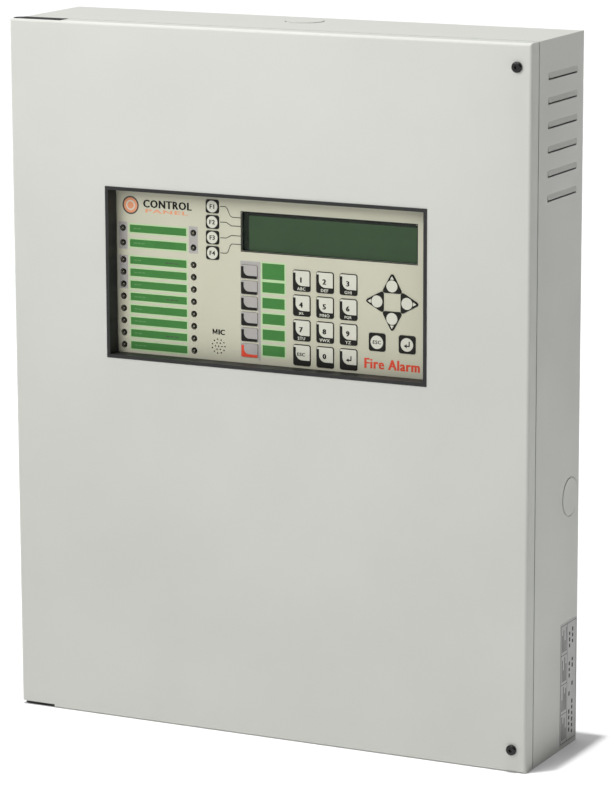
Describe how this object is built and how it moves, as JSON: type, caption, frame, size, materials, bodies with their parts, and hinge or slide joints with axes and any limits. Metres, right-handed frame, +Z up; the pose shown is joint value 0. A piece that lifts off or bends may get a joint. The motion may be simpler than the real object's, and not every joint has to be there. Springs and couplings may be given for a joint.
{
  "type": "fire alarm control panel",
  "caption": "Wall-mounted steel fire alarm control panel: hinged cover with a recessed keypad and display window, boards, power supply and standby batteries inside.",
  "frame": {"origin": "centre of the four wall-mounting holes, on the outside of the back wall", "axes": "+Z up, front faces -Y, +X to the right seen from the front"},
  "size_m": [0.3988, 0.0943, 0.5003],
  "materials": {
    "painted_steel": "fine-textured powder coat, light grey",
    "black_plastic": "moulded, satin",
    "black_screw_steel": "black oxide",
    "zinc_steel": "zinc plated",
    "galvanised_steel": "galvanised sheet",
    "nylon": "natural",
    "label_film": "printed film",
    "overlay_film": "fine-textured printed film",
    "key_film": "embossed printed film",
    "green_card": "printed card behind clear film",
    "led_lens": "unlit tinted lens",
    "display_pane": "tinted pane",
    "display_body": "liquid crystal cell",
    "circuit_board": "solder resist",
    "ribbon_insulation": "flat cable",
    "terminal_plastic": "moulded",
    "component_plastic": "moulded",
    "battery_case": "moulded",
    "lead_insulation": "extruded insulation"
  },
  "bodies": {
    "enclosure": {"back_box": "painted_steel", "hinge_brackets": "black_plastic", "hinge_pins": "zinc_steel", "clinch_fasteners": "zinc_steel", "rating_label": "label_film", "console_chassis": "galvanised_steel", "membrane_overlay": "overlay_film", "label_inserts": "green_card", "status_leds": "led_lens", "display_window": "display_pane", "display_module": "display_body", "console_board": "circuit_board", "key_switches": "black_plastic", "buzzer": "black_plastic", "microphone": "zinc_steel", "ribbon_cable": "ribbon_insulation", "main_board": "circuit_board", "board_standoffs": "zinc_steel", "board_screws": "zinc_steel", "terminal_blocks": "terminal_plastic", "board_components": "component_plastic", "power_supply": "galvanised_steel", "mains_terminal_block": "terminal_plastic", "battery_left": "battery_case", "battery_right": "battery_case", "power_leads": "lead_insulation"},
    "cover": {"front_cover": "painted_steel", "window_trim": "black_plastic"},
    "upper_washer": {"upper_screw_washer": "nylon"},
    "upper_screw": {"upper_cover_screw": "black_screw_steel"},
    "lower_washer": {"lower_screw_washer": "nylon"},
    "lower_screw": {"lower_cover_screw": "black_screw_steel"},
    "function_key_1": {"function_key_1": "key_film"},
    "function_key_2": {"function_key_2": "key_film"},
    "function_key_3": {"function_key_3": "key_film"},
    "function_key_4": {"function_key_4": "key_film"},
    "zone_key_1": {"zone_key_1": "key_film"},
    "zone_key_2": {"zone_key_2": "key_film"},
    "zone_key_3": {"zone_key_3": "key_film"},
    "zone_key_4": {"zone_key_4": "key_film"},
    "zone_key_5": {"zone_key_5": "key_film"},
    "zone_key_6": {"zone_key_6": "key_film"},
    "digit_key_1": {"digit_key_1": "key_film"},
    "digit_key_2": {"digit_key_2": "key_film"},
    "digit_key_3": {"digit_key_3": "key_film"},
    "digit_key_4": {"digit_key_4": "key_film"},
    "digit_key_5": {"digit_key_5": "key_film"},
    "digit_key_6": {"digit_key_6": "key_film"},
    "digit_key_7": {"digit_key_7": "key_film"},
    "digit_key_8": {"digit_key_8": "key_film"},
    "digit_key_9": {"digit_key_9": "key_film"},
    "keypad_escape_key": {"keypad_escape_key": "key_film"},
    "digit_key_0": {"digit_key_0": "key_film"},
    "keypad_enter_key": {"keypad_enter_key": "key_film"},
    "arrow_up_key": {"arrow_up_key": "key_film"},
    "arrow_left_key": {"arrow_left_key": "key_film"},
    "arrow_down_key": {"arrow_down_key": "key_film"},
    "arrow_right_key": {"arrow_right_key": "key_film"},
    "escape_key": {"escape_key": "key_film"},
    "enter_key": {"enter_key": "key_film"}
  },
  "joints": [
    {"name": "cover_hinge", "type": "hinge", "parent": "enclosure", "child": "cover", "pos_m": [-0.194, -0.085, 0], "axis": [0, 0, -1], "range_deg": [0, 110]},
    {"name": "upper_screw_advance", "type": "slide", "parent": "cover", "child": "upper_washer", "axis": [0, -1, 0], "range_m": [0, 0.006]},
    {"name": "upper_screw_turn", "type": "hinge", "parent": "upper_washer", "child": "upper_screw", "pos_m": [0.1886, -0.092, 0.234], "axis": [0, -1, 0], "range_deg": [0, 3086]},
    {"name": "lower_screw_advance", "type": "slide", "parent": "cover", "child": "lower_washer", "axis": [0, -1, 0], "range_m": [0, 0.006]},
    {"name": "lower_screw_turn", "type": "hinge", "parent": "lower_washer", "child": "lower_screw", "pos_m": [0.1886, -0.092, -0.234], "axis": [0, -1, 0], "range_deg": [0, 3086]},
    {"name": "function_key_1_press", "type": "slide", "parent": "enclosure", "child": "function_key_1", "axis": [0, 1, 0], "range_m": [0, 0.0005], "stiffness_N_per_m": 4000},
    {"name": "function_key_2_press", "type": "slide", "parent": "enclosure", "child": "function_key_2", "axis": [0, 1, 0], "range_m": [0, 0.0005], "stiffness_N_per_m": 4000},
    {"name": "function_key_3_press", "type": "slide", "parent": "enclosure", "child": "function_key_3", "axis": [0, 1, 0], "range_m": [0, 0.0005], "stiffness_N_per_m": 4000},
    {"name": "function_key_4_press", "type": "slide", "parent": "enclosure", "child": "function_key_4", "axis": [0, 1, 0], "range_m": [0, 0.0005], "stiffness_N_per_m": 4000},
    {"name": "zone_key_1_press", "type": "slide", "parent": "enclosure", "child": "zone_key_1", "axis": [0, 1, 0], "range_m": [0, 0.0005], "stiffness_N_per_m": 4000},
    {"name": "zone_key_2_press", "type": "slide", "parent": "enclosure", "child": "zone_key_2", "axis": [0, 1, 0], "range_m": [0, 0.0005], "stiffness_N_per_m": 4000},
    {"name": "zone_key_3_press", "type": "slide", "parent": "enclosure", "child": "zone_key_3", "axis": [0, 1, 0], "range_m": [0, 0.0005], "stiffness_N_per_m": 4000},
    {"name": "zone_key_4_press", "type": "slide", "parent": "enclosure", "child": "zone_key_4", "axis": [0, 1, 0], "range_m": [0, 0.0005], "stiffness_N_per_m": 4000},
    {"name": "zone_key_5_press", "type": "slide", "parent": "enclosure", "child": "zone_key_5", "axis": [0, 1, 0], "range_m": [0, 0.0005], "stiffness_N_per_m": 4000},
    {"name": "zone_key_6_press", "type": "slide", "parent": "enclosure", "child": "zone_key_6", "axis": [0, 1, 0], "range_m": [0, 0.0005], "stiffness_N_per_m": 4000},
    {"name": "digit_key_1_press", "type": "slide", "parent": "enclosure", "child": "digit_key_1", "axis": [0, 1, 0], "range_m": [0, 0.0005], "stiffness_N_per_m": 4000},
    {"name": "digit_key_2_press", "type": "slide", "parent": "enclosure", "child": "digit_key_2", "axis": [0, 1, 0], "range_m": [0, 0.0005], "stiffness_N_per_m": 4000},
    {"name": "digit_key_3_press", "type": "slide", "parent": "enclosure", "child": "digit_key_3", "axis": [0, 1, 0], "range_m": [0, 0.0005], "stiffness_N_per_m": 4000},
    {"name": "digit_key_4_press", "type": "slide", "parent": "enclosure", "child": "digit_key_4", "axis": [0, 1, 0], "range_m": [0, 0.0005], "stiffness_N_per_m": 4000},
    {"name": "digit_key_5_press", "type": "slide", "parent": "enclosure", "child": "digit_key_5", "axis": [0, 1, 0], "range_m": [0, 0.0005], "stiffness_N_per_m": 4000},
    {"name": "digit_key_6_press", "type": "slide", "parent": "enclosure", "child": "digit_key_6", "axis": [0, 1, 0], "range_m": [0, 0.0005], "stiffness_N_per_m": 4000},
    {"name": "digit_key_7_press", "type": "slide", "parent": "enclosure", "child": "digit_key_7", "axis": [0, 1, 0], "range_m": [0, 0.0005], "stiffness_N_per_m": 4000},
    {"name": "digit_key_8_press", "type": "slide", "parent": "enclosure", "child": "digit_key_8", "axis": [0, 1, 0], "range_m": [0, 0.0005], "stiffness_N_per_m": 4000},
    {"name": "digit_key_9_press", "type": "slide", "parent": "enclosure", "child": "digit_key_9", "axis": [0, 1, 0], "range_m": [0, 0.0005], "stiffness_N_per_m": 4000},
    {"name": "keypad_escape_key_press", "type": "slide", "parent": "enclosure", "child": "keypad_escape_key", "axis": [0, 1, 0], "range_m": [0, 0.0005], "stiffness_N_per_m": 4000},
    {"name": "digit_key_0_press", "type": "slide", "parent": "enclosure", "child": "digit_key_0", "axis": [0, 1, 0], "range_m": [0, 0.0005], "stiffness_N_per_m": 4000},
    {"name": "keypad_enter_key_press", "type": "slide", "parent": "enclosure", "child": "keypad_enter_key", "axis": [0, 1, 0], "range_m": [0, 0.0005], "stiffness_N_per_m": 4000},
    {"name": "arrow_up_key_press", "type": "slide", "parent": "enclosure", "child": "arrow_up_key", "axis": [0, 1, 0], "range_m": [0, 0.0005], "stiffness_N_per_m": 4000},
    {"name": "arrow_left_key_press", "type": "slide", "parent": "enclosure", "child": "arrow_left_key", "axis": [0, 1, 0], "range_m": [0, 0.0005], "stiffness_N_per_m": 4000},
    {"name": "arrow_down_key_press", "type": "slide", "parent": "enclosure", "child": "arrow_down_key", "axis": [0, 1, 0], "range_m": [0, 0.0005], "stiffness_N_per_m": 4000},
    {"name": "arrow_right_key_press", "type": "slide", "parent": "enclosure", "child": "arrow_right_key", "axis": [0, 1, 0], "range_m": [0, 0.0005], "stiffness_N_per_m": 4000},
    {"name": "escape_key_press", "type": "slide", "parent": "enclosure", "child": "escape_key", "axis": [0, 1, 0], "range_m": [0, 0.0005], "stiffness_N_per_m": 4000},
    {"name": "enter_key_press", "type": "slide", "parent": "enclosure", "child": "enter_key", "axis": [0, 1, 0], "range_m": [0, 0.0005], "stiffness_N_per_m": 4000}
  ],
  "couplings": [
    {"joint": "upper_screw_turn", "follows": "upper_screw_advance", "rad_per_m": 8976},
    {"joint": "lower_screw_turn", "follows": "lower_screw_advance", "rad_per_m": 8976}
  ]
}
